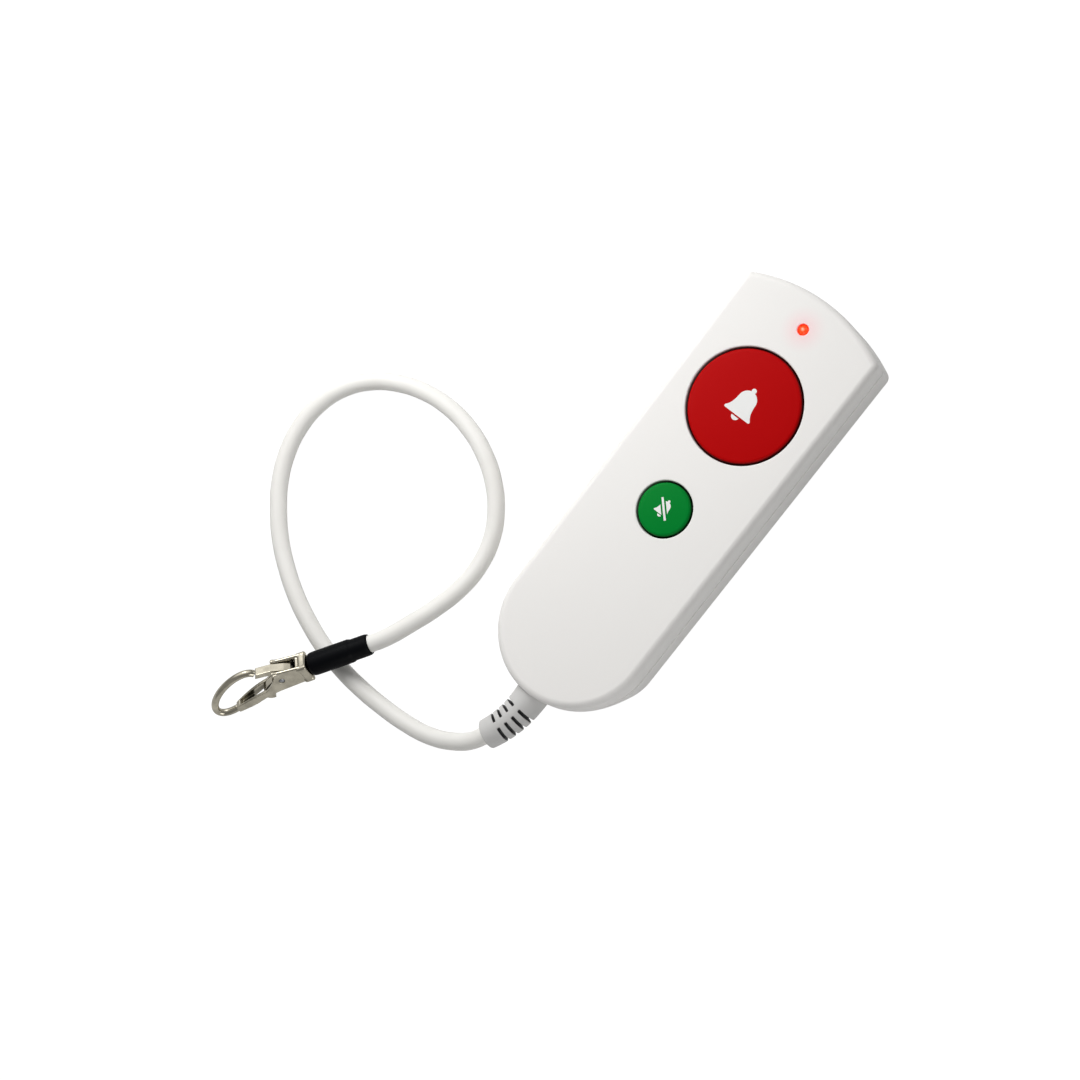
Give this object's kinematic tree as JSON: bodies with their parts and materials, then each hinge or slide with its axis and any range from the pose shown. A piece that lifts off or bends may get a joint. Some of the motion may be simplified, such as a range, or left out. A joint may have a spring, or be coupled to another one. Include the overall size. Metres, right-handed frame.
{
  "type": "wireless call handset",
  "caption": "Hand-held call transmitter: slim rounded housing with a large red call button, a small green cancel button, a lamp, and a tether cord with a trigger snap.",
  "frame": {"origin": "centre of the handset's footprint on the surface that its back rests on, without the cord and what is on it", "axes": "+Y along the handset towards the lamp end, +Z out of the face with the buttons, +X to the right seen from the face"},
  "size_m": [0.1382, 0.2021, 0.0188],
  "materials": {
    "shell_plastic": "fine moulded grain, satin",
    "button_red": "very fine grain, satin gloss",
    "button_green": "very fine grain, satin gloss",
    "lamp_plastic": "tinted clear lens, lit",
    "relief_plastic": "soft moulded, matte",
    "cord_jacket": "smooth extruded jacket",
    "sleeve_rubber": "smooth, low sheen",
    "clip_nickel": "warm nickel plate, polished",
    "spring_steel": "bright zinc or tin",
    "board_laminate": "solder mask",
    "black_plastic": "moulded",
    "cell_wrap": "printed sleeve, left bare",
    "brass_wire": "enamelled wire",
    "red_wire": "insulation",
    "black_wire": "insulation"
  },
  "bodies": {
    "housing": {"front_cover": "shell_plastic", "rear_cover": "shell_plastic", "call_button_spring": "spring_steel", "cancel_button_spring": "spring_steel", "call_switch": "black_plastic", "cancel_switch": "black_plastic", "circuit_board": "board_laminate", "status_lamp": "lamp_plastic", "lamp_spacer": "black_plastic", "radio_module": "board_laminate", "module_shield": "spring_steel", "controller_chip": "black_plastic", "crystal_can": "spring_steel", "capacitor": "black_plastic", "antenna_coil": "brass_wire", "battery": "cell_wrap", "battery_plus_contact": "spring_steel", "battery_minus_contact": "spring_steel", "battery_lead_red": "red_wire", "battery_lead_black": "black_wire", "housing_screw_1": "spring_steel", "housing_screw_2": "spring_steel", "housing_screw_3": "spring_steel", "housing_screw_4": "spring_steel", "board_screw_1": "spring_steel", "board_screw_2": "spring_steel", "strain_relief": "relief_plastic", "cord_stop": "spring_steel", "cord_inner_end": "cord_jacket", "cord": "cord_jacket", "cord_sleeve": "sleeve_rubber", "clip_body": "clip_nickel", "clip_pin": "spring_steel", "clip_spring": "spring_steel"},
    "call_button": {"call_button": "button_red", "call_switch_plunger": "black_plastic"},
    "cancel_button": {"cancel_button": "button_green", "cancel_switch_plunger": "black_plastic"},
    "battery_door": {"battery_door": "shell_plastic"},
    "clip_gate": {"clip_gate": "clip_nickel"}
  },
  "joints": [
    {"name": "call_button_press", "type": "slide", "parent": "housing", "child": "call_button", "axis": [0, 0, -1], "range_m": [0, 0.001], "stiffness_N_per_m": 1500, "springref_m": -0.0005, "deforming": ["call_button_spring"]},
    {"name": "cancel_button_press", "type": "slide", "parent": "housing", "child": "cancel_button", "axis": [0, 0, -1], "range_m": [0, 0.0008], "stiffness_N_per_m": 1200, "springref_m": -0.0005, "deforming": ["cancel_button_spring"]},
    {"name": "battery_door_slide", "type": "slide", "parent": "housing", "child": "battery_door", "axis": [0, -1, 0], "range_m": [0, 0.006]},
    {"name": "clip_gate_hinge", "type": "hinge", "parent": "housing", "child": "clip_gate", "pos_m": [-0.06531, -0.11068, 0.00939], "axis": [0.7427, -0.5194, 0.4226], "range_deg": [0, 20], "stiffness_Nm_per_rad": 0.02, "springref_deg": -11.46, "deforming": ["clip_spring"]}
  ]
}
